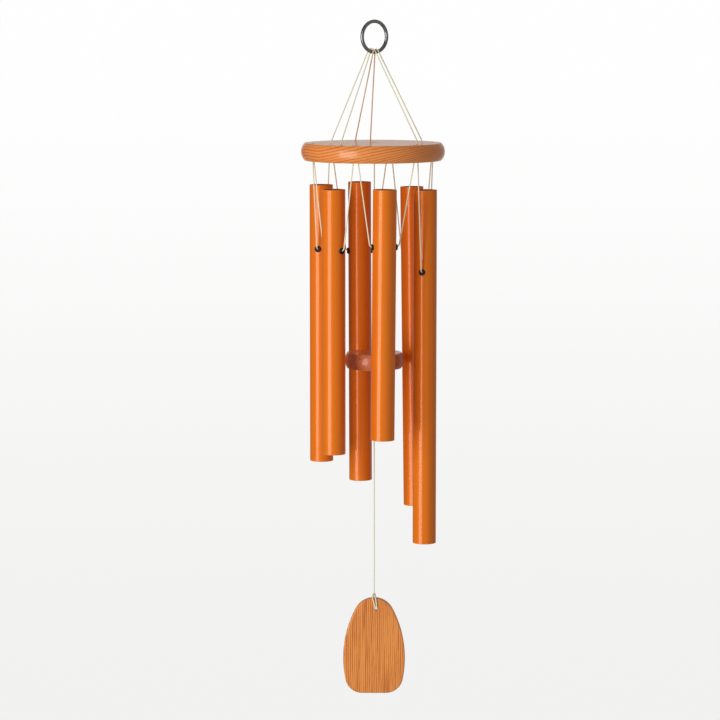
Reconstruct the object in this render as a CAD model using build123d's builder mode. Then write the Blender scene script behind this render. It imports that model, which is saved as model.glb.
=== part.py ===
from build123d import *
from math import asin, atan2, cos, degrees, pi, radians, sin, sqrt, tan
import os

# A wind chime. Millimetres and degrees, +Z up. The origin is where the outside hook bears, on the inside of
# the ring's top. The centre cord, the clapper and the sail hang straight below it.

# ---------------------------------------------------------------- driving dimensions

ring_outer = 30.4
ring_wire = 3.2
ring_turn = 37.0  # from the XZ plane, about Z

# The longest tube is the heaviest, so the disc hangs a little off the ring's plumb line, away from that tube.
disc_axis = Vector(-1.25, -1.0)
disc_top = -105.9
disc_thickness = 15.4
disc_diameter = 128.3
disc_flat = 122.0  # across the flat part of each face

tube_outer = 21.0
tube_wall = 1.3
tube_circle = 48.3  # radius of the ring of tubes
tube_first_angle = -16.3  # of the longest tube; the others follow counter-clockwise, each one shorter
longest_tube = 318.0
node_fraction = 0.2285  # the cross hole's distance from the top, as a share of the tube's length
tube_edge_round = 0.35
octave = 12  # semitones
width_loss = 0.014  # share of its length that a tube an octave up loses because it is wide for its length

# Each tube: semitones above the longest one's note, the gap from the disc down to it, how far it has slipped
# along its cord (counter-clockwise), and how far its foot leans clockwise.
tubes = [
    {"semitones": 0, "gap": 25.6, "slip": 0.0, "lean": 0.0},
    {"semitones": 3, "gap": 25.5, "slip": -1.7, "lean": 1.03},
    {"semitones": 5, "gap": 22.1, "slip": 0.3, "lean": 0.21},
    {"semitones": 8, "gap": 22.6, "slip": 0.0, "lean": 0.0},
    {"semitones": 10, "gap": 24.0, "slip": 0.0, "lean": 0.0},
    {"semitones": 12, "gap": 23.3, "slip": -1.65, "lean": 0.48},
]

grommet_flange = 5.7
grommet_barrel = 4.0
grommet_bore = 2.0
grommet_proud = 1.3
grommet_lip = 0.9  # thickness of the lip inside the tube
grommet_round = 0.8
grommet_fold_inset = 0.2  # how far inside the grommet's mouth the cord begins to fold

cord_diameter = 1.15
suspension_circle = 44.6  # radius of the six holes for the suspension cord
suspension_pairs = [341.6, 221.6, 101.6]
suspension_half_angle = 8.9
suspension_hole = 2.0
leg_rise = 1.1  # how far above the disc a loop's leg leans towards the ring
ring_gap = 0.3  # between a loop of cord and the ring's wire
wrap_share = 0.93  # of the bend over the wire, because a loop's two legs do not lie in one plane
loop_slips = [-4.0, -1.3, 2.0]  # where the three loops cross the wire, along it

sling_span = 50.8  # between a tube's two holes in the disc
sling_hole = 2.4
sling_depth = 1.2  # how far above the disc's underside a sling turns in its hole
fold_radius = 1.2  # of the cord where it folds over the edge of a hole
mouth_radius = 3.0  # of the cord where it leans out of a hole
stitch_gap = 0.08  # between a stitch and the face that it lies on
groove_depth = 1.5  # of the grooves that the slings' stitches lie in, in the disc's top
grommet_fold_radius = 1.5

clapper_diameter = 53.1
clapper_flat = 48.8
clapper_thickness = 13.8
clapper_height = -300.9  # of its middle
clapper_bore = 2.2

centre_knot_radius = 2.5
centre_knot_rise = 1.6  # its middle above the floor of its recess
recess_depth = 4.5
recess_diameter = 6.5
centre_hole = 4.5
stop_knot_radius = 2.2
small_knot_radius = 1.5
small_knot_drop = 0.2  # between the knot under the disc and the disc
pivot_gap = 0.3

sail_top = -518.5
sail_height = 88.4
sail_width = 56.2
sail_thickness = 6.0
sail_widest = 56.0  # below the sail's top
sail_dome_radius = 19.0
sail_corner_radius = 15.7
sail_round = 1.2
sail_hole = 3.2
sail_hole_depth = 10.1  # below the sail's top
sail_hole_offset = 1.9  # to the right of the sail's middle
sail_knot_rise = 12.6  # above the hole
sail_knot_radius = 1.5
loop_spacing = 1.2  # between the two turns of cord through the sail's hole
loop_rise = 0.65  # of the turns where they cross the hole, above its middle
loop_spread = 3.0  # between them at the sail's top
loop_bend_rise = 0.15  # above the sail's top, where they lean in to the knot
loop_root_spacing = 1.7  # between their ends in the knot
loop_root = 0.6  # how far in front of, behind and below the knot's middle each end is
loop_face_gap = 0.35
loop_bend_radius = 1.5

# ---------------------------------------------------------------- worked out from them

disc_bottom = disc_top - disc_thickness
disc_middle = disc_top - disc_thickness / 2
cord_radius = cord_diameter / 2
ring_radius = (ring_outer - ring_wire) / 2
ring_centre = Vector(0, 0, -(ring_radius - ring_wire / 2))
ring_along = Vector(cos(radians(ring_turn)), sin(radians(ring_turn)), 0)
ring_front = Vector(sin(radians(ring_turn)), -cos(radians(ring_turn)), 0)
centre_knot_height = disc_top - recess_depth + centre_knot_rise
stop_knot_height = clapper_height - clapper_thickness / 2 - stop_knot_radius - pivot_gap
sail_hole_height = sail_top - sail_hole_depth
sail_knot_height = sail_hole_height + sail_knot_rise
up = Vector(0, 0, 1)

os.makedirs("parts", exist_ok=True)


def around(radius, angle, height):
    """The point at a radius and an angle about the disc's axis."""
    return disc_axis + Vector(radius * cos(radians(angle)), radius * sin(radians(angle)), height)


def save(part, name):
    """Label a finished piece and write it out."""
    part.label = name
    export_step(part, f"parts/{name}.step")


# ---------------------------------------------------------------- cords


def cord(points, radii):
    """A tube of cord along straight runs joined by tangent arcs."""
    with BuildPart() as tube:
        with BuildLine() as route:
            FilletPolyline(*points, radius=radii)
        with BuildSketch(Plane(origin=points[0], z_dir=points[1] - points[0])):
            Circle(cord_radius)
        sweep()
    length = sum(edge.length for edge in route.edges())
    error = tube.part.volume / (pi * cord_radius**2 * length) - 1
    bends = [round(radius, 2) for radius in radii]
    print(f"  cord of {length:.1f} mm, bends {bends}, volume off by {error:.1e}")
    return tube.part


def straight_cord(top, bottom):
    """A tube of cord that a weight holds straight."""
    with BuildPart() as tube:
        with BuildSketch(Plane(origin=bottom, z_dir=top - bottom)):
            Circle(cord_radius)
        extrude(amount=(top - bottom).length)
    return tube.part


def stitch(start, end, face, side, stop):
    """A short run of cord along a face, with both ends in holes as far as the height stop."""
    run = face + side * (cord_radius + stitch_gap)
    points = [
        Vector(start.X, start.Y, stop),
        Vector(start.X, start.Y, run),
        Vector(end.X, end.Y, run),
        Vector(end.X, end.Y, stop),
    ]
    return cord(points, [fold_radius, fold_radius])


def ball(centre, radius):
    """A knot, drawn up round."""
    with BuildPart(Plane(origin=centre)) as knot:
        Sphere(radius)
    return knot.part


# ---------------------------------------------------------------- ring, disc and suspension


def hanging_ring():
    with BuildPart(Plane(origin=ring_centre, x_dir=ring_along, z_dir=ring_front)) as ring:
        Torus(ring_radius, ring_wire / 2)
    return ring.part


def round_board(diameter, flat, thickness, centre):
    """A round wooden board with a bulging rim."""
    half = thickness / 2
    with BuildPart() as board:
        with BuildSketch(Plane(origin=centre, x_dir=(1, 0, 0), z_dir=(0, -1, 0))):
            with BuildLine():
                ThreePointArc((flat / 2, -half), (diameter / 2, 0), (flat / 2, half))
                Polyline((flat / 2, half), (0, half), (0, -half), (flat / 2, -half))
            make_face()
        revolve(axis=Axis(centre, (0, 0, 1)))
    return board.part


def suspension_hole_place(pair, side, height):
    angle = suspension_pairs[pair] + side * suspension_half_angle
    return around(suspension_circle, angle, height)


def sling_hole_place(index, side, height):
    """A tube's hole in the disc, on the line through the tube's axis that its cross hole runs along."""
    radius = sqrt(tube_circle**2 + (sling_span / 2) ** 2)
    angle = tube_first_angle + 60 * index + side * degrees(atan2(sling_span / 2, tube_circle))
    return around(radius, angle, height)


def top_disc():
    board = round_board(disc_diameter, disc_flat, disc_thickness, disc_axis + up * disc_middle)
    hung = [suspension_hole_place(pair, side, 0) for pair in range(3) for side in (-1, 1)]
    slung = [sling_hole_place(index, side, 0) for index in range(6) for side in (-1, 1)]
    with BuildPart() as disc:
        add(board)
        with BuildSketch(Plane.XY.offset(disc_top)):
            with Locations(*[(place.X, place.Y) for place in hung]):
                Circle(suspension_hole / 2)
            with Locations(*[(place.X, place.Y) for place in slung]):
                Circle(sling_hole / 2)
            Circle(centre_hole / 2)
        extrude(amount=-disc_thickness, mode=Mode.SUBTRACT)
        with BuildSketch(Plane.XY.offset(disc_top)):
            Circle(recess_diameter / 2)
        extrude(amount=-recess_depth, mode=Mode.SUBTRACT)
        with BuildSketch(Plane.XY.offset(disc_top)):
            for index in range(6):
                first = sling_hole_place(index, 1, 0)
                second = sling_hole_place((index + 1) % 6, -1, 0)
                middle = (first + second) / 2
                run = second - first
                with Locations((middle.X, middle.Y)):
                    SlotCenterToCenter(run.length, sling_hole, rotation=degrees(atan2(run.Y, run.X)))
        extrude(amount=-groove_depth, mode=Mode.SUBTRACT)
    return disc.part


def over_the_wire(hole, slip, side):
    """A loop's corner above the ring's wire, for its leg to this hole, and the radius of its bend.

    The leg leaves the wire in front (side 1) or behind (side -1), along the line that touches the bend.
    """
    height = ring_centre.Z - sqrt(ring_radius**2 - slip**2)
    slope = sqrt(1 - (slip / ring_radius) ** 2)
    bend = ring_wire / 2 / slope + ring_gap + cord_radius
    reach = side * hole.dot(ring_front)
    drop = height - hole.Z
    turn = atan2(drop, reach) + asin(bend / sqrt(reach**2 + drop**2))
    corner = ring_along * slip + ring_front * side * bend * tan(turn / 2) + up * (height + bend)
    return corner, bend


def suspension_loop(back, front, slip):
    """A taut loop of cord from one hole of the disc, up behind the ring's wire and down to another hole."""
    above = up * (disc_thickness / 2 + leg_rise)
    back_corner, bend = over_the_wire(back + above, slip, -1)
    front_corner, bend = over_the_wire(front + above, slip, 1)
    points = [back, back + above, back_corner, front_corner, front + above, front]
    wrap = wrap_share * bend
    return cord(points, [mouth_radius, wrap, wrap, mouth_radius])


# ---------------------------------------------------------------- tubes and slings


def tube_length(index):
    """A free tube's note rises as the inverse square of its length, and a short wide tube's a little less."""
    ratio = 2 ** (tubes[index]["semitones"] / octave)
    return longest_tube / sqrt(ratio) * (1 - width_loss * (ratio - 1))


def cross_hole_plane(index):
    """The plane at the middle of a tube's cross hole: X runs along the hole and Z up the tube."""
    tube = tubes[index]
    angle = tube_first_angle + 60 * index
    sideways = Vector(-sin(radians(angle)), cos(radians(angle)), 0)
    lean = radians(tube["lean"])
    height = disc_bottom - tube["gap"] - node_fraction * tube_length(index)
    return Plane(
        origin=around(tube_circle, angle, height) + sideways * tube["slip"],
        x_dir=sideways * cos(lean) - up * sin(lean),
        z_dir=sideways * sin(lean) + up * cos(lean),
    )


def chime_tube(index):
    middle = cross_hole_plane(index)
    length = tube_length(index)
    with BuildPart() as tube:
        with BuildSketch(middle.offset(node_fraction * length)):
            Circle(tube_outer / 2)
            Circle(tube_outer / 2 - tube_wall, mode=Mode.SUBTRACT)
        extrude(amount=-length)
        fillet(tube.edges().filter_by(GeomType.CIRCLE), tube_edge_round)
        with BuildSketch(Plane(origin=middle.origin, x_dir=middle.y_dir, z_dir=middle.x_dir)):
            Circle(grommet_barrel / 2)
        extrude(amount=tube_outer, both=True, mode=Mode.SUBTRACT)
    return tube.part


def grommet_pair(index):
    """Two rubber grommets in a tube's cross hole, one in each side of its wall."""
    middle = cross_hole_plane(index)
    inside = tube_outer / 2 - tube_wall - grommet_lip
    outside = tube_outer / 2 + grommet_proud
    across = Plane(origin=middle.origin, x_dir=middle.y_dir, z_dir=middle.x_dir)
    with BuildPart() as pair:
        for side in (-1, 1):
            with BuildSketch(across.offset(side * inside)):
                Circle(grommet_flange / 2)
            extrude(amount=side * (outside - inside))
        rims = pair.edges().filter_by(GeomType.CIRCLE)
        outer_rims = rims.filter_by(lambda rim: (rim.arc_center - middle.origin).length > tube_outer / 2)
        fillet(outer_rims, grommet_round)
        with BuildSketch(middle):
            Circle(tube_outer / 2)
            Circle(tube_outer / 2 - tube_wall, mode=Mode.SUBTRACT)
        extrude(amount=grommet_flange, both=True, mode=Mode.SUBTRACT)
        for side in (-1, 1):
            with BuildSketch(across.offset(side * inside)):
                Circle(grommet_barrel / 2)
            extrude(amount=side * (outside - inside))
        with BuildSketch(across):
            Circle(grommet_bore / 2)
        extrude(amount=tube_outer, both=True, mode=Mode.SUBTRACT)
    return pair.part


def sling(index):
    """The cord that a tube hangs from: down from one hole, through both grommets and up to the other hole."""
    middle = cross_hole_plane(index)
    turn_out = tube_outer / 2 + grommet_proud + grommet_fold_radius - grommet_fold_inset
    ends = [sling_hole_place(index, side, disc_bottom + sling_depth) for side in (-1, 1)]
    corners = [middle.origin + middle.x_dir * side * turn_out for side in (-1, 1)]
    run = cord([ends[0], corners[0], corners[1], ends[1]], [grommet_fold_radius] * 2)
    with BuildPart() as whole:
        add(run)
        with Locations(*ends):
            Sphere(cord_radius)
    return whole.part


# ---------------------------------------------------------------- sail


def wind_sail():
    """A flat egg-shaped board with its wide end down, hung by a hole near its top."""
    half = sail_width / 2
    dome = Vector(0, sail_top - sail_dome_radius)
    middle_drop = sail_widest - sail_dome_radius
    side_radius = (half**2 + middle_drop**2 - sail_dome_radius**2) / (2 * (half - sail_dome_radius))
    side = Vector(half - side_radius, sail_top - sail_widest)
    corner_height = sail_top - sail_height + sail_corner_radius
    corner_reach = sqrt((side_radius - sail_corner_radius) ** 2 - (corner_height - side.Y) ** 2)
    corner = Vector(side.X + corner_reach, corner_height)
    dome_angle = degrees(atan2(dome.Y - side.Y, dome.X - side.X))
    corner_angle = degrees(atan2(corner.Y - side.Y, corner.X - side.X))
    with BuildPart() as sail:
        with BuildSketch(Plane.XZ):
            with BuildLine():
                CenterArc(dome, sail_dome_radius, dome_angle, 90 - dome_angle)
                CenterArc(side, side_radius, corner_angle, dome_angle - corner_angle)
                CenterArc(corner, sail_corner_radius, -90, 90 + corner_angle)
                Line((corner.X, sail_top - sail_height), (0, sail_top - sail_height))
                mirror(about=Plane.YZ)
            make_face()
        extrude(amount=sail_thickness / 2, both=True)
        fillet(sail.faces().filter_by(Axis.Y).edges(), sail_round)
        with BuildSketch(Plane.XZ):
            with Locations((sail_hole_offset, sail_hole_height)):
                Circle(sail_hole / 2)
        extrude(amount=sail_thickness, both=True, mode=Mode.SUBTRACT)
    return sail.part


def sail_loops():
    """Two turns of cord from the knot, down the sail's front, through its hole and up its back."""
    off_face = sail_thickness / 2 + loop_face_gap + cord_radius
    bend_height = sail_top + loop_bend_rise
    crossing = sail_hole_height + loop_rise
    with BuildPart() as pair:
        for side in (-1, 1):
            root = side * loop_root_spacing / 2
            top = side * loop_spread / 2
            through = sail_hole_offset + side * loop_spacing / 2
            points = [
                Vector(root, -loop_root, sail_knot_height - loop_root),
                Vector(top, -off_face, bend_height),
                Vector(through, -off_face, crossing),
                Vector(through, off_face, crossing),
                Vector(top, off_face, bend_height),
                Vector(root, loop_root, sail_knot_height - loop_root),
            ]
            add(cord(points, [loop_bend_radius, fold_radius, fold_radius, loop_bend_radius]))
    return pair.part


# ---------------------------------------------------------------- the pieces

save(hanging_ring(), "hanging_ring")
save(top_disc(), "top_disc")

loop_holes = [((1, -1), (2, 1)), ((1, 1), (0, -1)), ((2, -1), (0, 1))]
for number, (back, front) in enumerate(loop_holes):
    back_hole = suspension_hole_place(*back, disc_middle)
    front_hole = suspension_hole_place(*front, disc_middle)
    save(suspension_loop(back_hole, front_hole, loop_slips[number]), f"suspension_cord_{number + 1}")

with BuildPart() as suspension_stitches:
    for pair in range(3):
        first = suspension_hole_place(pair, -1, 0)
        second = suspension_hole_place(pair, 1, 0)
        add(stitch(first, second, disc_bottom, -1, disc_middle))
save(suspension_stitches.part, "suspension_stitches")

stitch_reach = suspension_circle * cos(radians(suspension_half_angle))
stitch_middle = around(stitch_reach, suspension_pairs[2], disc_bottom)
save(ball(stitch_middle - up * (small_knot_radius + small_knot_drop), small_knot_radius), "suspension_knot")

with BuildPart() as sling_stitches:
    for index in range(6):
        first = sling_hole_place(index, 1, 0)
        second = sling_hole_place((index + 1) % 6, -1, 0)
        sling_end = disc_bottom + sling_depth + cord_radius + pivot_gap
        add(stitch(first, second, disc_top - groove_depth, 1, sling_end))
save(sling_stitches.part, "sling_stitches")

for index in range(6):
    save(chime_tube(index), f"tube_{index + 1}")
    save(grommet_pair(index), f"grommets_{index + 1}")
    save(sling(index), f"sling_cord_{index + 1}")
save(ball(cross_hole_plane(2).origin, small_knot_radius), "sling_knot")

save(ball(up * centre_knot_height, centre_knot_radius), "centre_knot")
centre_cord_top = centre_knot_height - centre_knot_radius - pivot_gap
centre_cord_bottom = stop_knot_height + stop_knot_radius + pivot_gap
save(straight_cord(up * centre_cord_top, up * centre_cord_bottom), "centre_cord")

clapper_board = round_board(clapper_diameter, clapper_flat, clapper_thickness, up * clapper_height)
with BuildPart() as clapper:
    add(clapper_board)
    with BuildSketch(Plane.XY.offset(clapper_height)):
        Circle(clapper_bore / 2)
    extrude(amount=clapper_thickness, both=True, mode=Mode.SUBTRACT)
save(clapper.part, "clapper")

save(ball(up * stop_knot_height, stop_knot_radius), "stop_knot")
sail_cord_top = stop_knot_height - stop_knot_radius - pivot_gap
sail_cord = straight_cord(up * sail_cord_top, up * (sail_knot_height + sail_knot_radius / 2))
save(sail_cord, "sail_cord")
save(ball(up * sail_knot_height, sail_knot_radius), "sail_knot")
save(sail_loops(), "sail_loops")
save(wind_sail(), "wind_sail")
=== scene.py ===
from math import asin, atan2, cos, pi, radians, sin, sqrt, tan

import bpy
import numpy as np
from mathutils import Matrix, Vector


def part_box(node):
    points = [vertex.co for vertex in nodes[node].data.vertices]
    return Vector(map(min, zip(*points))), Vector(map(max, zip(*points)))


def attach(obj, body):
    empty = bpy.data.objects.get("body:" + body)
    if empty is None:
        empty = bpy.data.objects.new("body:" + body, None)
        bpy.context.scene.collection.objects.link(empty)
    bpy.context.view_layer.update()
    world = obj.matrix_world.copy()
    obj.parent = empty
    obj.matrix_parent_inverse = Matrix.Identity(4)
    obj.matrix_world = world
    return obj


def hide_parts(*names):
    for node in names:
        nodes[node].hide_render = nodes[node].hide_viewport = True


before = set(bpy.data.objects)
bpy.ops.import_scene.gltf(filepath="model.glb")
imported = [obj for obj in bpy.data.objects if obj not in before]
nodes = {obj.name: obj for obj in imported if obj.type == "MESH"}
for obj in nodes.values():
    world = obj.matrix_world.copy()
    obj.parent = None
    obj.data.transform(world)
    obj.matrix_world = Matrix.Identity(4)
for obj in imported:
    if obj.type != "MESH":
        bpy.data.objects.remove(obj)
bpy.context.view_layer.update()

# The looks of a wind chime, in metres and in the frame of its CAD model: +Z up, the origin on the inside of
# the ring's top, where the outside hook bears. It holds the camera, the materials, the cords and their knots,
# which are braided along the model's routes, and the studio's light.

scene = bpy.context.scene
up = Vector((0, 0, 1))

# ---------------------------------------------------------------- sizes repeated from the CAD model

ring_outer = 0.0304
ring_wire = 0.0032
ring_turn = radians(37)  # from the XZ plane, about Z
ring_gap = 0.0003  # between a loop of cord and the ring's wire

disc_axis = Vector((-0.00125, -0.001, 0))
disc_top = -0.1059
disc_thickness = 0.0154
disc_flat = 0.122  # across the flat part of each face
groove_depth = 0.0015  # of the grooves that the slings' stitches lie in, in the disc's top
recess_depth = 0.0045  # of the recess that the centre knot sits in

cord_diameter = 0.00115
suspension_circle = 0.0446  # radius of the six holes for the suspension cord
suspension_pairs = [341.6, 221.6, 101.6]
suspension_half_angle = 8.9
leg_rise = 0.0011  # how far above the disc a loop's leg leans towards the ring

# Each loop over the ring's wire: its pair and side of hole at the back and at the front, how far along the
# wire it crosses it, its length, and the shares of its length, from the back hole, painted tan as shade.
loops = [
    {"back": (1, -1), "front": (2, 1), "slip": -0.004, "length": 0.2088, "painted_shade": (0.5, 1.0)},
    {"back": (1, 1), "front": (0, -1), "slip": -0.0013, "length": 0.2064, "painted_shade": None},
    {"back": (2, -1), "front": (0, 1), "slip": 0.002, "length": 0.2033, "painted_shade": (0.0, 0.5)},
]

tube_circle = 0.0483  # radius of the ring of tubes
tube_first_angle = -16.3  # of the longest tube; the others follow counter-clockwise, each one shorter
longest_tube = 0.318
node_fraction = 0.2285  # the cross hole's distance from the top, as a share of the tube's length
octave = 12  # semitones
width_loss = 0.014  # share of its length that a tube an octave up loses because it is wide for its length
sling_span = 0.0508  # between a tube's two holes in the disc
sling_depth = 0.0012  # how far above the disc's underside a sling turns in its hole
sling_turn_out = 0.0131  # of a sling's corner, from the tube's axis

# Each tube: semitones above the longest one's note, the gap from the disc down to it, how far it has slipped
# along its cord (counter-clockwise), how far its foot leans clockwise, and its sling's length.
tubes = [
    {"semitones": 0, "gap": 0.0256, "slip": 0.0, "lean": 0.0, "sling": 0.2257},
    {"semitones": 3, "gap": 0.0255, "slip": -0.0017, "lean": 1.03, "sling": 0.2132},
    {"semitones": 5, "gap": 0.0221, "slip": 0.0003, "lean": 0.21, "sling": 0.1988},
    {"semitones": 8, "gap": 0.0226, "slip": 0.0, "lean": 0.0, "sling": 0.1892},
    {"semitones": 10, "gap": 0.024, "slip": 0.0, "lean": 0.0, "sling": 0.1853},
    {"semitones": 12, "gap": 0.0233, "slip": -0.00165, "lean": 0.48, "sling": 0.1777},
]

clapper_flat = 0.0488
clapper_thickness = 0.0138
clapper_height = -0.3009  # of its middle

centre_knot_radius = 0.0025
centre_knot_rise = 0.0016  # its middle above the floor of its recess
stop_knot_radius = 0.0022
pivot_gap = 0.0003  # between each of those two knots and the cord that swings under it

sail_top = -0.5185
sail_thickness = 0.006
sail_hole_depth = 0.0101  # below the sail's top
sail_hole_offset = 0.0019  # to the right of the sail's middle
sail_knot_rise = 0.0126  # above the hole
sail_knot_radius = 0.0015
loop_spacing = 0.0012  # between the two turns of cord through the sail's hole
loop_rise = 0.00065  # of the turns where they cross the hole, above its middle
loop_spread = 0.003  # between them at the sail's top
loop_bend_rise = 0.00015  # above the sail's top, where they lean in to the knot
loop_root_spacing = 0.0017  # between their ends in the knot
loop_root = 0.0006  # how far in front of, behind and below the knot's middle each end is
loop_face_gap = 0.00035

# ---------------------------------------------------------------- worked out from them

ring_radius = (ring_outer - ring_wire) / 2
ring_centre = Vector((0, 0, ring_wire / 2 - ring_radius))
ring_along = Vector((cos(ring_turn), sin(ring_turn), 0))
ring_front = Vector((sin(ring_turn), -cos(ring_turn), 0))
disc_bottom = disc_top - disc_thickness
disc_middle = disc_top - disc_thickness / 2
cord_radius = cord_diameter / 2
straight = 0.007  # six diameters of cord: how far from a corner a long straight run gets its extra point
clapper_bottom = clapper_height - clapper_thickness / 2
centre_knot_height = disc_top - recess_depth + centre_knot_rise
stop_knot_height = clapper_bottom - stop_knot_radius - pivot_gap
sail_hole_height = sail_top - sail_hole_depth
sail_knot_height = sail_hole_height + sail_knot_rise

tube_middles = []  # of their cross holes
hole_directions = []
for index, tube in enumerate(tubes):
    ratio = 2 ** (tube["semitones"] / octave)
    tube_length = longest_tube / sqrt(ratio) * (1 - width_loss * (ratio - 1))
    angle = radians(tube_first_angle + 60 * index)
    lean = radians(tube["lean"])
    outward = Vector((cos(angle), sin(angle), 0))
    sideways = Vector((-sin(angle), cos(angle), 0))
    height = disc_bottom - tube["gap"] - node_fraction * tube_length
    tube_middles.append(disc_axis + outward * tube_circle + sideways * tube["slip"] + up * height)
    hole_directions.append(sideways * cos(lean) - up * sin(lean))


# ---------------------------------------------------------------- camera

camera_data = bpy.data.cameras.new("camera")
camera_data.lens = 140
camera_data.sensor_width = 36
camera = bpy.data.objects.new("camera", camera_data)
camera.location = (-0.0128, -2.5, 0.0104)
camera.rotation_euler = (radians(90 - 7.1), 0, 0)
scene.collection.objects.link(camera)
scene.camera = camera


# ---------------------------------------------------------------- shader helpers


class Nodes:
    """A tree of nodes made by short calls. Every value may be a number, a colour or another node's output."""

    def __init__(self, tree):
        self.tree = tree
        self.tree.nodes.clear()

    def node(self, kind, **settings):
        made = self.tree.nodes.new(kind)
        for key, value in settings.items():
            setattr(made, key, value)
        return made

    def feed(self, socket, value):
        if isinstance(value, bpy.types.NodeSocket):
            self.tree.links.new(value, socket)
        elif socket.type == "RGBA":
            socket.default_value = (*value, 1)
        else:
            socket.default_value = value

    def fed(self, kind, *values, **settings):
        """A new node whose inputs are fed in order."""
        made = self.node(kind, **settings)
        for socket, value in zip(made.inputs, values):
            self.feed(socket, value)
        return made

    def maths(self, operation, *values):
        return self.fed("ShaderNodeMath", *values, operation=operation).outputs[0]

    def plus(self, first, second):
        return self.maths("ADD", first, second)

    def minus(self, first, second):
        return self.maths("SUBTRACT", first, second)

    def times(self, first, second):
        return self.maths("MULTIPLY", first, second)

    def vector(self, operation, *values):
        made = self.fed("ShaderNodeVectorMath", *values, operation=operation)
        return made.outputs["Value" if operation in ("DOT_PRODUCT", "LENGTH") else "Vector"]

    def split(self, vector):
        return self.fed("ShaderNodeSeparateXYZ", vector).outputs

    def joined(self, x, y, z):
        return self.fed("ShaderNodeCombineXYZ", x, y, z).outputs[0]

    def between(self, value, low, high, out_low=0.0, out_high=1.0):
        """A smooth step from out_low, where the value is low, to out_high, where it is high."""
        limits = (low, high, out_low, out_high)
        return self.fed("ShaderNodeMapRange", value, *limits, interpolation_type="SMOOTHSTEP").outputs[0]

    def mix(self, factor, first, second):
        made = self.node("ShaderNodeMix", data_type="RGBA")
        self.feed(made.inputs[0], factor)
        self.feed(made.inputs[6], first)
        self.feed(made.inputs[7], second)
        return made.outputs[2]

    def ramp(self, value, stops):
        made = self.fed("ShaderNodeValToRGB", value)
        elements = made.color_ramp.elements
        while len(elements) < len(stops):
            elements.new(0.5)
        for element, (position, colour) in zip(elements, stops):
            element.position = position
            element.color = (*colour, 1)
        return made.outputs[0]

    def noise(self, place, detail=3.0, roughness=0.5, distortion=0.0, scale=1.0):
        made = self.node("ShaderNodeTexNoise")
        self.feed(made.inputs["Vector"], place)
        self.feed(made.inputs["Scale"], scale)
        self.feed(made.inputs["Detail"], detail)
        self.feed(made.inputs["Roughness"], roughness)
        self.feed(made.inputs["Distortion"], distortion)
        return made.outputs["Fac"]


class Shader(Nodes):
    """A material with one Principled surface, fed by its own nodes."""

    def __init__(self, name):
        self.material = bpy.data.materials.new(name)
        self.material.use_nodes = True
        super().__init__(self.material.node_tree)
        self.surface = self.node("ShaderNodeBsdfPrincipled")
        self.fed("ShaderNodeOutputMaterial", self.surface.outputs[0])
        coordinates = self.node("ShaderNodeTexCoord").outputs
        self.place = coordinates["Object"]
        self.normal = coordinates["Normal"]

    def set(self, **values):
        for key, value in values.items():
            self.feed(self.surface.inputs[key.replace("_", " ")], value)

    def mottle(self, scale, *settings):
        """Noise fixed to the object, finer the larger its scale, which may be a number for each axis."""
        scales = scale if isinstance(scale, tuple) else (scale, scale, scale)
        return self.noise(self.vector("MULTIPLY", self.place, scales), *settings)

    def bump(self, height, distance, strength):
        made = self.node("ShaderNodeBump")
        self.feed(made.inputs["Strength"], strength)
        self.feed(made.inputs["Distance"], distance)
        self.feed(made.inputs["Height"], height)
        return made.outputs[0]


# ---------------------------------------------------------------- materials


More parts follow.
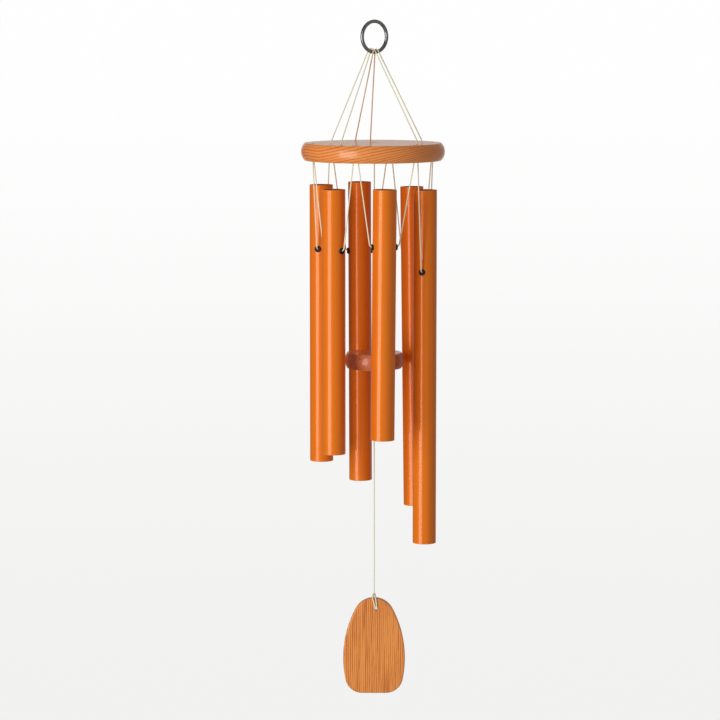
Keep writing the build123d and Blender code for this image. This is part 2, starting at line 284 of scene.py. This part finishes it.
def wood(name, rings, grain, ring_width, colours, wobble, streak, end_stain, arris=None, hole=None):
    """Stained, lacquered softwood: growth rings, and fine fibres and pores along the grain.

    rings is a function of the shader that gives the distance across the growth rings, and colours run from
    early to late wood. arris and hole are functions of the shader too, for the distance to a worn edge and
    to a hole's axis.
    """
    shader = Shader(name)
    early, middle, late = colours
    grain = Vector(grain).normalized()
    along = shader.vector("DOT_PRODUCT", shader.place, grain)
    lengthwise = shader.vector("MULTIPLY", shader.joined(along, along, along), grain)
    radial = shader.vector("SUBTRACT", shader.place, lengthwise)

    def streaks(across, length, detail=3.0, roughness=0.55):
        stretched = [
            shader.vector("MULTIPLY", part, (scale, scale, scale))
            for part, scale in ((radial, across), (lengthwise, length))
        ]
        return shader.noise(shader.vector("ADD", *stretched), detail, roughness)

    # The rings wander slowly along the grain, and their edges follow the fibres.
    slow = shader.times(shader.minus(streaks(42, 14, 2.0), 0.5), wobble)
    quick = shader.times(shader.minus(streaks(210, 45, 2.0), 0.5), wobble / 4)
    turns = shader.maths("DIVIDE", shader.plus(shader.plus(rings(shader), slow), quick), ring_width)
    phase = shader.maths("FRACT", turns)
    year = shader.noise(shader.joined(shader.maths("FLOOR", turns), 0.37, 0.11), 1.0, scale=0.83)
    stops = [(0.0, early), (0.4, early), (0.72, middle), (0.88, late), (0.97, late), (1.0, early)]
    clearness = shader.between(year, 0.28, 0.62, 0.35, 1.0)
    colour = shader.mix(clearness, shader.mix(0.3, early, middle), shader.ramp(phase, stops))
    bands = streaks(1000, 18, 2.0, 0.6)
    colour = shader.mix(shader.between(bands, 0.5, 0.64, 0, streak), colour, late)
    colour = shader.mix(shader.between(bands, 0.5, 0.38, 0, streak), colour, early)
    fibres = streaks(2300, 70)
    colour = shader.mix(shader.between(fibres, 0.5, 0.75, 0, 0.3), colour, late)
    pits = shader.between(streaks(3600, 260, 1.0, 0.5), 0.66, 0.74)
    pit_colour = shader.mix(0.6, late, (0.05, 0.012, 0.005))
    colour = shader.mix(shader.times(pits, 0.45), colour, pit_colour)
    # End grain takes up more stain.
    endwise = shader.maths("ABSOLUTE", shader.vector("DOT_PRODUCT", shader.normal, grain))
    end = shader.maths("POWER", endwise, 3.0)
    end_colour = shader.mix(0.4, late, (0.12, 0.03, 0.012))
    colour = shader.mix(shader.times(end, end_stain), colour, end_colour)
    # Painted shade: the wood round the hole's axis is painted near black, for the shade inside the hole.
    if hole is not None:
        hole_shade_colour = (0.06, 0.016, 0.008)
        colour = shader.mix(shader.between(hole(shader), 0.0018, 0.0015), colour, hole_shade_colour)
    roughness = shader.between(shader.mottle(300, 4.0), 0.25, 0.75, 0.34, 0.46)
    if arris is not None:
        near = shader.between(arris(shader), 0.0002, 0.0011, 1, 0)
        worn = shader.times(near, shader.between(shader.mottle(900), 0.42, 0.62))
        worn_colour = (0.8, 0.45, 0.22)
        colour = shader.mix(shader.times(worn, 0.4), colour, worn_colour)
        roughness = shader.plus(roughness, shader.times(worn, 0.2))
    relief = shader.minus(shader.times(fibres, 0.7), shader.times(phase, 0.3))
    relief = shader.minus(relief, shader.times(pits, 0.8))
    shader.set(Base_Color=colour, Roughness=roughness, Normal=shader.bump(relief, 0.00004, 0.5))
    shader.set(Specular_IOR_Level=0.25, Coat_Weight=0.7, Coat_Roughness=0.14, Coat_IOR=1.45)
    return shader.material


def disc_rings(shader):
    """Rings that dip under the rim at its front left, rise gently to the right of that and close up there."""
    x, y, z = shader.split(shader.place)
    off_dip = shader.times(shader.plus(x, 0.05), 1000)
    rise = shader.maths("POWER", shader.plus(shader.times(off_dip, off_dip), 25), 0.375)
    depth = shader.plus(y, 0.045)
    bow = shader.times(shader.times(depth, depth), 4.2)
    closeness = shader.between(x, -0.01, 0.06, 1.0, 1.7)
    height = shader.times(shader.minus(z, disc_middle), closeness)
    return shader.plus(shader.minus(height, shader.times(rise, 0.0008)), bow)


def clapper_rings(shader):
    """Rings that rise to the right across the rim."""
    x, y, z = shader.split(shader.place)
    bow = shader.times(shader.times(y, y), 6.0)
    return shader.plus(shader.minus(z, shader.times(x, 0.6)), bow)


def sail_rings(shader):
    """Rings cut nearly square to the face, so that they run up and down it."""
    x, y, z = shader.split(shader.place)
    return shader.plus(x, shader.plus(shader.times(y, 0.6), shader.times(z, 0.02)))


def round_edge(centre, radius, height_low, height_high):
    """A function of the shader that gives the distance to the two round edges of a board."""

    def distance(shader):
        x, y, z = shader.split(shader.vector("SUBTRACT", shader.place, centre))
        off_axis = shader.maths("SQRT", shader.plus(shader.times(x, x), shader.times(y, y)))
        low = shader.maths("ABSOLUTE", shader.minus(z, height_low))
        high = shader.maths("ABSOLUTE", shader.minus(z, height_high))
        near = shader.maths("MINIMUM", low, high)
        return shader.vector("LENGTH", shader.joined(shader.minus(off_axis, radius), near, 0.0))

    return distance


def sail_hole_distance(shader):
    x, _, z = shader.split(shader.vector("SUBTRACT", shader.place, (sail_hole_offset, 0, sail_hole_height)))
    return shader.vector("LENGTH", shader.joined(x, 0.0, z))


def anodised(name, top, bottom, middle):
    """Copper-coloured satin anodising over extruded aluminium: fine lines along the tube, and worn ends."""
    bright, deep = (0.97, 0.225, 0.006), (0.89, 0.185, 0.006)
    line_colour, cloud_colour = (0.66, 0.115, 0.01), (0.95, 0.27, 0.02)
    # The first colour on the next line is painted shade for the bore; the second is bare metal where the
    # anodising is worn.
    bore_shade_colour, bare_metal = (0.1, 0.018, 0.008), (0.86, 0.46, 0.22)
    shader = Shader(name)
    height = shader.split(shader.place)[2]
    lines = shader.mottle((2600, 2600, 14), 3.0, 0.6)
    bands = shader.mottle((240, 240, 1.4), 2.0, 0.5)
    clouds = shader.mottle((60, 60, 18), 4.0, 0.55)
    colour = shader.mix(shader.between(bands, 0.3, 0.7), bright, deep)
    colour = shader.mix(shader.between(lines, 0.35, 0.75, 0.0, 0.2), colour, line_colour)
    colour = shader.mix(shader.between(clouds, 0.35, 0.75, 0.0, 0.14), colour, cloud_colour)
    # Painted shade: the inner wall is painted dark for the little light that gets into the bore.
    outward = shader.vector("SUBTRACT", shader.place, middle)
    facing = shader.vector("DOT_PRODUCT", outward, shader.normal)
    inside = shader.between(facing, 0.002, -0.002)
    colour = shader.mix(inside, colour, bore_shade_colour)
    # Rubbed ends, and a few handling scratches that run across the lines.
    ends = shader.maths("MINIMUM", shader.minus(top, height), shader.minus(height, bottom))
    uneven = shader.minus(ends, shader.times(shader.mottle(700), 0.0012))
    rubbed = shader.between(uneven, -0.0004, 0.0003, 1, 0)
    turned = shader.vector("ADD", shader.vector("MULTIPLY", shader.place, (130, 130, 900)), (3.1, 7.7, 1.3))
    thin = shader.maths("ABSOLUTE", shader.minus(shader.noise(turned, 1.0, 0.4, 1.2), 0.5))
    where = shader.between(shader.mottle((90, 90, 60), 2.0), 0.6, 0.68)
    scratches = shader.times(shader.between(thin, 0.0, 0.012, 1, 0), where)
    bare = shader.maths("MAXIMUM", shader.times(rubbed, 0.3), shader.times(scratches, 0.25))
    colour = shader.mix(bare, colour, bare_metal)
    roughness = shader.plus(shader.between(lines, 0.3, 0.75, 0.4, 0.52), shader.times(rubbed, 0.25))
    coat = shader.minus(0.9, shader.times(shader.maths("MAXIMUM", rubbed, inside), 0.85))
    relief = shader.plus(lines, shader.times(scratches, -0.6))
    shader.set(Base_Color=colour, Metallic=0.15, Roughness=roughness)
    shader.set(Normal=shader.bump(relief, 0.00001, 0.35))
    shader.set(Specular_IOR_Level=0.05, Coat_Weight=coat, Coat_Roughness=0.15, Coat_IOR=1.45)
    return shader.material


def plated_wire(name):
    """Dull nickel-plated wire, with fine drawing marks and a few dark pits."""
    shader = Shader(name)
    marks = shader.mottle(1500, 5.0, 0.6)
    tarnish = shader.mottle(260, 4.0, 0.6)
    pits = shader.mottle(1100, 2.0)
    colour = shader.mix(shader.between(tarnish, 0.35, 0.7), (0.36, 0.37, 0.39), (0.2, 0.2, 0.215))
    colour = shader.mix(shader.between(pits, 0.66, 0.74, 0, 0.8), colour, (0.06, 0.05, 0.05))
    roughness = shader.between(marks, 0.3, 0.7, 0.2, 0.38)
    shader.set(Base_Color=colour, Metallic=0.95, Roughness=roughness, Normal=shader.bump(marks, 0.00003, 0.4))
    return shader.material


def black_rubber(name):
    """Black rubber with a fine grit in it and a little dust on it."""
    shader = Shader(name)
    grit = shader.mottle(2400, 4.0, 0.6)
    dust = shader.mottle(420, 4.0)
    black, dusty = (0.006, 0.007, 0.009), (0.026, 0.025, 0.025)
    colour = shader.mix(shader.between(dust, 0.45, 0.75, 0, 0.6), black, dusty)
    shader.set(Base_Color=colour, Roughness=shader.between(grit, 0.3, 0.7, 0.48, 0.68))
    shader.set(Normal=shader.bump(grit, 0.00003, 0.5), Specular_IOR_Level=0.3)
    return shader.material


def braided_cord(name):
    """Cream polyester braid. Its attributes say where its strands are high and where it is painted tan as
    shade.
    """
    shader = Shader(name)
    braid = shader.node("ShaderNodeAttribute", attribute_name="braid").outputs["Fac"]
    shade_mask = shader.node("ShaderNodeAttribute", attribute_name="shade_mask").outputs["Fac"]
    fibres = shader.mottle((5200, 5200, 3000), 3.0, 0.6)
    patches = shader.between(shader.mottle((70, 70, 45)), 0.35, 0.68)
    cream = shader.mix(patches, (1.0, 0.95, 0.72), (1.0, 0.9, 0.6))
    # The tan colour is painted shade, laid on where the attribute says.
    painted_shade = shader.mix(patches, (0.86, 0.58, 0.3), (0.78, 0.48, 0.22))
    colour = shader.mix(shade_mask, cream, painted_shade)
    # Painted shade: the cord is darkened between its strands, where the braid is low.
    hollow_shade = shader.between(braid, 0.0, 0.6, 0.15, 0.0)
    colour = shader.mix(hollow_shade, colour, shader.mix(0.4, colour, (0.4, 0.26, 0.14)))
    colour = shader.mix(shader.between(fibres, 0.4, 0.75, 0, 0.1), colour, (0.7, 0.52, 0.32))
    shader.set(Base_Color=colour, Roughness=shader.between(fibres, 0.3, 0.7, 0.62, 0.82))
    shader.set(Subsurface_Weight=0.6, Subsurface_Radius=(1.0, 0.85, 0.6), Subsurface_Scale=0.0006)
    shader.set(Sheen_Weight=0.8, Sheen_Roughness=0.5, Normal=shader.bump(fibres, 0.00004, 0.5))
    return shader.material


def assign(names, material):
    for name in names:
        held = nodes[name].data.materials
        held.clear()
        held.append(material)


disc_wood = wood(
    "disc_wood",
    rings=disc_rings,
    grain=(1.0, 0.1, 0.18),
    ring_width=0.0026,
    colours=((1.0, 0.37, 0.09), (0.97, 0.27, 0.055), (0.5, 0.085, 0.018)),
    wobble=0.0014,
    streak=0.15,
    end_stain=0.12,
    arris=round_edge(disc_axis, disc_flat / 2, disc_bottom, disc_top),
)
clapper_wood = wood(
    "clapper_wood",
    rings=clapper_rings,
    grain=(1.0, 0.1, 0.6),
    ring_width=0.0014,
    colours=((0.78, 0.24, 0.085), (0.62, 0.155, 0.055), (0.32, 0.06, 0.025)),
    wobble=0.003,
    streak=0.4,
    end_stain=0.25,
    arris=round_edge((0, 0, 0), clapper_flat / 2, clapper_bottom, clapper_bottom + clapper_thickness),
)
sail_wood = wood(
    "sail_wood",
    rings=sail_rings,
    grain=(0.02, 0.0, 1.0),
    ring_width=0.0019,
    colours=((1.0, 0.4, 0.09), (1.0, 0.25, 0.045), (0.36, 0.05, 0.01)),
    wobble=0.0014,
    streak=0.55,
    end_stain=0.8,
    hole=sail_hole_distance,
)
assign(["top_disc"], disc_wood)
assign(["clapper"], clapper_wood)
assign(["wind_sail"], sail_wood)
for index, middle in enumerate(tube_middles):
    name = f"tube_{index + 1}"
    low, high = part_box(name)
    assign([name], anodised(f"{name}_anodising", high.z, low.z, middle))
assign(["hanging_ring"], plated_wire("ring_metal"))
assign([f"grommets_{index + 1}" for index in range(len(tubes))], black_rubber("grommet_rubber"))


# ---------------------------------------------------------------- cords

cord_material = braided_cord("cord")
cord_sides = 20
cord_step = 0.0003
braid_carriers = 4
braid_length = 0.0026  # of one turn of a carrier round the cord
braid_relief = 0.04  # as a share of the cord's radius
tight_knot = 0.0016  # radius of the two knots that close the endless cords
tight_cord = 0.00055  # radius of the cord drawn up in them
suspension_knot_drop = 0.0017  # of its middle, below the disc


def spline_points(route):
    """The points of the smooth curve that takes the route's points as its control points."""
    data = bpy.data.curves.new("route", "CURVE")
    data.dimensions = "3D"
    data.resolution_u = 48
    spline = data.splines.new("NURBS")
    spline.points.add(len(route) - 1)
    for point, place in zip(spline.points, route):
        point.co = (*place, 1)
    spline.order_u = 3
    spline.use_endpoint_u = True
    holder = bpy.data.objects.new("route", data)
    scene.collection.objects.link(holder)
    bpy.context.view_layer.update()
    evaluated = holder.evaluated_get(bpy.context.evaluated_depsgraph_get())
    mesh = bpy.data.meshes.new_from_object(evaluated)
    points = np.array([vertex.co for vertex in mesh.vertices])
    bpy.data.objects.remove(holder)
    bpy.data.meshes.remove(mesh)
    bpy.data.curves.remove(data)
    return points


def even_points(line):
    """Points a step apart along a line, with the direction and the distance run at each."""
    steps = np.linalg.norm(np.diff(line, axis=0), axis=1)
    line = line[np.concatenate([[True], steps > 1e-9])]
    run = np.concatenate([[0], np.cumsum(np.linalg.norm(np.diff(line, axis=0), axis=1))])
    count = max(int(run[-1] / cord_step), 8)
    distances = np.linspace(0, run[-1], count + 1)
    points = np.stack([np.interp(distances, run, line[:, axis]) for axis in range(3)], axis=1)
    ahead = np.gradient(points, axis=0)
    ahead /= np.linalg.norm(ahead, axis=1)[:, None]
    return points, ahead, distances


def braid_mesh(name, lines, painted_shade=None, radius=cord_radius):
    """One mesh of braided cord along each line of points, painted tan as shade between two shares of its
    length.
    """
    shade_from, shade_to = painted_shade or (2.0, 2.0)
    angles = np.arange(cord_sides) * 2 * pi / cord_sides
    corners, faces, braid_values, shade_mask_values = [], [], [], []
    for line in lines:
        points, ahead, distances = even_points(line)
        side = np.cross(ahead[0], [0.31, 0.87, 0.38])
        first = len(corners)
        for place, direction, along in zip(points, ahead, distances):
            side = side - direction * side.dot(direction)
            side /= np.linalg.norm(side)
            across = np.cross(direction, side)
            turn = along / braid_length * 2 * pi
            weave = np.cos(braid_carriers * angles + turn) * np.cos(braid_carriers * angles - turn)
            reach = radius * (1 - braid_relief + braid_relief * weave)
            sideways = (np.cos(angles) * reach)[:, None] * side
            ring = place + sideways + (np.sin(angles) * reach)[:, None] * across
            corners.extend(ring.tolist())
            braid_values.extend(np.abs(weave).tolist())
            share = along / distances[-1]
            shade_mask_values.extend([float(shade_from <= share <= shade_to)] * cord_sides)
        last = len(corners) - cord_sides
        for start in range(first, last, cord_sides):
            beyond = start + cord_sides
            for corner in range(cord_sides):
                after = (corner + 1) % cord_sides
                faces.append((start + corner, start + after, beyond + after, beyond + corner))
        faces.append(tuple(range(first + cord_sides - 1, first - 1, -1)))
        faces.append(tuple(range(last, last + cord_sides)))
    mesh = bpy.data.meshes.new(name)
    mesh.from_pydata(corners, [], faces)
    mesh.polygons.foreach_set("use_smooth", [True] * len(mesh.polygons))
    for key, values in (("braid", braid_values), ("shade_mask", shade_mask_values)):
        mesh.attributes.new(key, "FLOAT", "POINT").data.foreach_set("value", values)
    mesh.materials.append(cord_material)
    made = bpy.data.objects.new(name, mesh)
    scene.collection.objects.link(made)
    return made


def free_cord(name, node, body, route, painted_shade=None):
    """A taut cord of the CAD model: a braid along the route's spline, for the node, riding on the body."""
    points = spline_points(route)
    made = braid_mesh(name, [points], painted_shade)
    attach(made, body)
    if node:
        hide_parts(node)


def around(radius, angle, height):
    """The point at a radius and an angle about the disc's axis."""
    return disc_axis + Vector((radius * cos(angle), radius * sin(angle), height))


def suspension_hole(pair, side, height):
    angle = radians(suspension_pairs[pair] + side * suspension_half_angle)
    return around(suspension_circle, angle, height)


def sling_hole(index, side, height):
    half_span = sling_span / 2
    angle = radians(tube_first_angle + 60 * index) + side * atan2(half_span, tube_circle)
    return around(sqrt(tube_circle**2 + half_span**2), angle, height)


def over_the_wire(hole, slip, side):
    """A suspension loop's corner over the ring's wire, for its leg to this hole."""
    height = ring_centre.z - sqrt(ring_radius**2 - slip**2)
    slope = sqrt(1 - (slip / ring_radius) ** 2)
    bend = ring_wire / 2 / slope + ring_gap + cord_radius
    reach = side * hole.dot(ring_front)
    drop = height - hole.z
    turn = atan2(drop, reach) + asin(bend / sqrt(reach**2 + drop**2))
    return ring_along * slip + ring_front * side * bend * tan(turn / 2) + up * (height + bend)


def toward(start, end, distance):
    return start + (end - start).normalized() * distance


for index, loop in enumerate(loops):
    back_hole = suspension_hole(*loop["back"], disc_middle)
    back_mouth = suspension_hole(*loop["back"], disc_top + leg_rise)
    back_corner = over_the_wire(back_mouth, loop["slip"], -1)
    front_hole = suspension_hole(*loop["front"], disc_middle)
    front_mouth = suspension_hole(*loop["front"], disc_top + leg_rise)
    front_corner = over_the_wire(front_mouth, loop["slip"], 1)
    route = [
        back_hole,
        back_mouth,
        toward(back_mouth, back_corner, straight),
        toward(back_corner, back_mouth, straight),
        back_corner,
        front_corner,
        toward(front_corner, front_mouth, straight),
        toward(front_mouth, front_corner, straight),
        front_mouth,
        front_hole,
    ]
    name = f"suspension_cord_{index + 1}"
    free_cord(f"{name}_braid", name, "canopy", route, loop["painted_shade"])

for index, tube in enumerate(tubes):
    ends = [sling_hole(index, side, disc_bottom + sling_depth) for side in (-1, 1)]
    corners = [tube_middles[index] + hole_directions[index] * side * sling_turn_out for side in (-1, 1)]
    route = [
        ends[0],
        toward(corners[0], ends[0], straight),
        corners[0],
        toward(corners[0], corners[1], straight),
        toward(corners[1], corners[0], straight),
        corners[1],
        toward(corners[1], ends[1], straight),
        ends[1],
    ]
    name = f"sling_cord_{index + 1}"
    free_cord(f"{name}_braid", name, f"sling_{index + 1}", route)


def plumb(top, bottom):
    """A route straight down the chime's middle."""
    return [Vector((0, 0, height)) for height in (top, (top + bottom) / 2, bottom)]


centre_route = plumb(centre_knot_height - centre_knot_radius - pivot_gap, clapper_bottom)
# Its top share, inside and just under the disc, is painted tan as shade.
free_cord("centre_cord_braid", "centre_cord", "clapper_line", centre_route, (0.0, 0.06))
sail_route = plumb(stop_knot_height - stop_knot_radius - pivot_gap, sail_knot_height + sail_knot_radius / 2)
free_cord("sail_cord_braid", "sail_cord", "sail_line", sail_route)

crossing = sail_hole_height + loop_rise
loop_off_face = sail_thickness / 2 + loop_face_gap + cord_radius
into_hole = Vector((0, 0.0016, 0))
run_at_hole = 0.0012  # how far from the hole and from the bend the straight run's extra points are
run_at_bend = 0.002
for side, word in ((-1, "left"), (1, "right")):
    through = sail_hole_offset + side * loop_spacing / 2
    front_root = Vector((side * loop_root_spacing / 2, -loop_root, sail_knot_height - loop_root))
    front_bend = Vector((side * loop_spread / 2, -loop_off_face, sail_top + loop_bend_rise))
    front_mouth = Vector((through, -loop_off_face, crossing))
    back_mouth = Vector((through, loop_off_face, crossing))
    back_bend = Vector((side * loop_spread / 2, loop_off_face, sail_top + loop_bend_rise))
    back_root = Vector((side * loop_root_spacing / 2, loop_root, sail_knot_height - loop_root))
    route = [
        front_root,
        front_bend,
        toward(front_bend, front_mouth, run_at_bend),
        toward(front_mouth, front_bend, run_at_hole),
        front_mouth,
        front_mouth + into_hole,
        back_mouth - into_hole,
        back_mouth,
        toward(back_mouth, back_bend, run_at_hole),
        toward(back_bend, back_mouth, run_at_bend),
        back_bend,
        back_root,
    ]
    # Both loops are one node of the CAD model, and the left one stands for it.
    node = "sail_loops" if side < 0 else None
    free_cord(f"sail_loop_{word}", node, "sail_line", route)


stitch_gap = 0.0001  # between a stitch and the disc's face
stitch_turn = 0.0012  # how far inside its holes it starts to turn
stitch_run = 0.0022  # how far from its corners its straight run starts
stitch_end_gap = 0.0003  # between an upper stitch's end and the sling's cord in the same hole


def stitch(first, second, face, side, stop):
    """A stitch over a face of the disc, out of one hole and into another, with its ends at a height."""
    over = face + side * (cord_radius + stitch_gap)
    inside = face - side * stitch_turn
    start, end = Vector((first.x, first.y, over)), Vector((second.x, second.y, over))
    route = [
        Vector((first.x, first.y, stop)),
        Vector((first.x, first.y, inside)),
        start,
        toward(start, end, stitch_run),
        toward(end, start, stitch_run),
        end,
        Vector((second.x, second.y, inside)),
        Vector((second.x, second.y, stop)),
    ]
    return spline_points(route)


lower_stitches = [
    stitch(suspension_hole(pair, -1, 0), suspension_hole(pair, 1, 0), disc_bottom, -1, disc_middle)
    for pair in range(len(suspension_pairs))
]
upper_stitches = []
upper_stop = disc_bottom + sling_depth + cord_radius + stitch_end_gap
for index in range(len(tubes)):
    first = sling_hole(index, 1, 0)
    second = sling_hole((index + 1) % len(tubes), -1, 0)
    upper_stitches.append(stitch(first, second, disc_top - groove_depth, 1, upper_stop))
for name, lines in (("suspension_stitches", lower_stitches), ("sling_stitches", upper_stitches)):
    made = braid_mesh(f"{name}_braid", lines)
    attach(made, "canopy")
    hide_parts(name)


# ---------------------------------------------------------------- knots


def knot(node, body, centre, size, thick, tilt=(0.0, 0.0), painted_shade=None):
    """An overhand knot drawn up tight in the space of the CAD model's ball."""
    turns = np.linspace(0, 2 * pi, 241)
    x = np.sin(turns) + 2 * np.sin(2 * turns)
    y = np.cos(turns) - 2 * np.cos(2 * turns)
    z = -1.5 * np.sin(3 * turns)
    line = np.stack([x, y, z], axis=1) * (size - thick) / 3
    turn_x, turn_z = tilt
    about_x = np.array([[1, 0, 0], [0, cos(turn_x), -sin(turn_x)], [0, sin(turn_x), cos(turn_x)]])
    about_z = np.array([[cos(turn_z), -sin(turn_z), 0], [sin(turn_z), cos(turn_z), 0], [0, 0, 1]])
    line = line @ about_x.T @ about_z.T + np.array(centre)
    made = braid_mesh(f"{node}_tied", [line], painted_shade, thick)
    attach(made, body)
    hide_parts(node)


stitch_circle = suspension_circle * cos(radians(suspension_half_angle))
under_disc = around(stitch_circle, radians(suspension_pairs[2]), disc_bottom - suspension_knot_drop)
centre_place = (0, 0, centre_knot_height)
stop_place = (0, 0, stop_knot_height)
sail_place = (0, 0, sail_knot_height)
whole = (0.0, 1.0)
knot("centre_knot", "centre_pivot", centre_place, size=0.0026, thick=0.0008)
knot("stop_knot", "sail_pivot", stop_place, size=0.0023, thick=0.0007, tilt=(0.5, 0.4))
# The sail's knot is painted tan all over, as painted shade.
knot("sail_knot", "sail_line", sail_place, size=0.0017, thick=0.0006, tilt=(1.4, 0.3), painted_shade=whole)
knot("suspension_knot", "canopy", under_disc, size=tight_knot, thick=tight_cord)
knot("sling_knot", "sling_3", tube_middles[2], size=tight_knot, thick=tight_cord, tilt=(1.2, 1.0))


# ---------------------------------------------------------------- floor and light

# The floor is round, far below the chime, and its rim curves up into a wall. Only the camera sees it.
floor_height = -2.0
floor_reach = 5.0
wall_bend = 4.0
bend_steps = 12
floor_sides = 96
profile = [(0.01, floor_height), (3.0, floor_height), (floor_reach, floor_height)]
for step in range(1, bend_steps + 1):
    turn = pi / 2 * step / bend_steps
    profile.append((floor_reach + wall_bend * sin(turn), floor_height + wall_bend * (1 - cos(turn))))
profile.append((floor_reach + wall_bend, 12.0))
floor_corners = []
for reach, height in profile:
    for side in range(floor_sides):
        turn = 2 * pi * side / floor_sides
        floor_corners.append((reach * cos(turn), reach * sin(turn), height))
floor_faces = [tuple(range(floor_sides))]
for low in range(0, len(floor_corners) - floor_sides, floor_sides):
    high = low + floor_sides
    for side in range(floor_sides):
        after = (side + 1) % floor_sides
        floor_faces.append((low + side, low + after, high + after, high + side))
floor_mesh = bpy.data.meshes.new("floor")
floor_mesh.from_pydata(floor_corners, [], floor_faces)
floor_mesh.polygons.foreach_set("use_smooth", [True] * len(floor_mesh.polygons))
floor = bpy.data.objects.new("floor", floor_mesh)
scene.collection.objects.link(floor)
paint = Shader("floor_paint")
shade = paint.between(paint.split(paint.place)[2], -2.2, -0.2)
paint.set(Base_Color=(0.05, 0.05, 0.05), Roughness=0.9)
paint.set(Emission_Color=paint.mix(shade, (0.85, 0.85, 0.845), (0.975, 0.97, 0.97)), Emission_Strength=1.0)
floor_mesh.materials.append(paint.material)
for ray_kind in ("diffuse", "glossy", "transmission", "volume_scatter", "shadow"):
    setattr(floor, f"visible_{ray_kind}", False)

# The main light is a tall softbox, to the left of the camera.
softbox_data = bpy.data.lights.new("key", "AREA")
softbox_data.shape = "RECTANGLE"
softbox_data.size = 1.15
softbox_data.size_y = 2.3
softbox_data.energy = 36
softbox = bpy.data.objects.new("key", softbox_data)
softbox_turn = radians(-41)
softbox_distance = 2.2
softbox_side = Vector((sin(softbox_turn), -cos(softbox_turn), 0))
softbox.location = softbox_side * softbox_distance - up * 0.2
softbox_aim = Vector((0, 0, -0.3)) - softbox.location
softbox.rotation_euler = softbox_aim.to_track_quat("-Z", "Y").to_euler()
softbox.visible_camera = False
scene.collection.objects.link(softbox)

# How bright the studio's walls are, by the share of the way round: from behind the object, round its left,
# front and right sides, to behind it again.
wall_levels = [
    (0.0, 0.64),
    (0.04, 0.64),
    (0.085, 0.06),
    (0.25, 0.08),
    (0.38, 0.25),
    (0.55, 0.3),
    (0.68, 0.3),
    (0.91, 0.3),
    (0.96, 0.64),
    (1.0, 0.64),
]
world = bpy.data.worlds.new("studio")
world.use_nodes = True
scene.world = world
studio = Nodes(world.node_tree)
x, y, _ = studio.split(studio.node("ShaderNodeTexCoord").outputs["Generated"])
azimuth = studio.maths("ARCTAN2", x, studio.times(y, -1))
share = studio.plus(studio.maths("DIVIDE", azimuth, 2 * pi), 0.5)
wall_colours = [(position, (level, level * 0.97, level * 0.93)) for position, level in wall_levels]
walls = studio.ramp(share, wall_colours)


def background(colour, strength=1.0):
    return studio.fed("ShaderNodeBackground", colour, strength).outputs[0]


def chosen(ray_kind, other, light):
    """One light for rays of this kind, and another one for the rest."""
    return studio.fed("ShaderNodeMixShader", rays[ray_kind], other, light).outputs[0]


# Matt surfaces get the same light from all around, glossy ones reflect the walls, and the camera sees white.
rays = studio.node("ShaderNodeLightPath").outputs
lights = chosen("Is Diffuse Ray", background(walls), background((1.0, 1.0, 0.99), 0.32))
lights = chosen("Is Camera Ray", lights, background((0.985, 0.985, 0.98)))
studio.fed("ShaderNodeOutputWorld", lights)
scene.view_settings.view_transform = "Standard"
